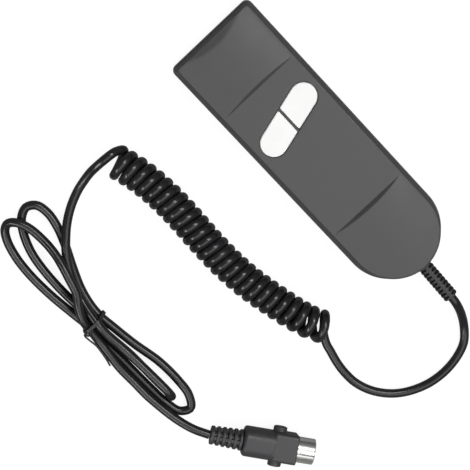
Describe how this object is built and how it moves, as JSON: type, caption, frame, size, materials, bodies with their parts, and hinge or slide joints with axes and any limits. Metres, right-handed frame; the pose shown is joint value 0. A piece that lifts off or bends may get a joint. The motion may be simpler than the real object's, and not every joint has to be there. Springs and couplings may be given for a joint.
{
  "type": "wired hand control",
  "caption": "Flat rounded hand control with a slanted pill of push buttons, a curly cord, a tied bundle of spare cord and a round multi-pin plug.",
  "frame": {"origin": "middle of the handset's outline, on the flat back that it lies on", "axes": "+Y along the handset to its square end, -Y to the rounded end that the cord leaves, +Z out of the face with the buttons, +X to the right of the face"},
  "size_m": [0.1734, 0.2113, 0.0219],
  "materials": {
    "housing": "finely textured grey plastic",
    "button": "satin white plastic",
    "switch_case": "moulded black plastic",
    "plunger": "moulded red plastic",
    "board": "green glass-fibre laminate",
    "connector": "moulded cream plastic",
    "core_brown": "smooth insulation",
    "core_yellow": "smooth insulation",
    "core_green": "smooth insulation",
    "core_white": "smooth insulation",
    "core_dark": "smooth insulation",
    "cord_jacket": "smooth dark grey flexible jacket",
    "tie": "plastic-covered wire",
    "plug_moulding": "moulded dark grey plastic",
    "screw_steel": "zinc-plated steel",
    "shell_metal": "nickel-plated steel",
    "pin_metal": "nickel-plated brass"
  },
  "bodies": {
    "handset": {"front_cover": "housing", "rear_cover": "housing", "circuit_board": "board", "left_switch": "switch_case", "right_switch": "switch_case", "board_connector": "connector", "wire_plug": "connector", "core_1": "core_brown", "core_2": "core_yellow", "core_3": "core_green", "core_4": "core_white", "core_5": "core_dark", "cable_tail": "cord_jacket", "cable_clamp": "switch_case", "cover_screw_1": "screw_steel", "cover_screw_2": "screw_steel", "cover_screw_3": "screw_steel", "cover_screw_4": "screw_steel", "board_screw_1": "screw_steel", "board_screw_2": "screw_steel", "board_screw_3": "screw_steel", "board_screw_4": "screw_steel", "clamp_screw_1": "screw_steel", "clamp_screw_2": "screw_steel", "strain_relief": "cord_jacket", "cord_lead": "cord_jacket", "cord_curl": "cord_jacket", "cord_run": "cord_jacket", "cord_hank": "cord_jacket", "cord_end": "cord_jacket", "twist_tie": "tie", "plug_boot": "plug_moulding", "plug_body": "plug_moulding", "plug_shell": "shell_metal", "plug_insert": "switch_case", "pin_1": "pin_metal", "pin_2": "pin_metal", "pin_3": "pin_metal", "pin_4": "pin_metal", "pin_5": "pin_metal"},
    "left_button": {"left_button_cap": "button", "left_switch_plunger": "plunger"},
    "right_button": {"right_button_cap": "button", "right_switch_plunger": "plunger"}
  },
  "joints": [
    {"name": "left_press", "type": "slide", "parent": "handset", "child": "left_button", "axis": [0, 0, 1], "range_m": [-0.001, 0], "stiffness_N_per_m": 1500, "springref_m": 0.0006},
    {"name": "right_press", "type": "slide", "parent": "handset", "child": "right_button", "axis": [0, 0, 1], "range_m": [-0.001, 0], "stiffness_N_per_m": 1500, "springref_m": 0.0006}
  ]
}
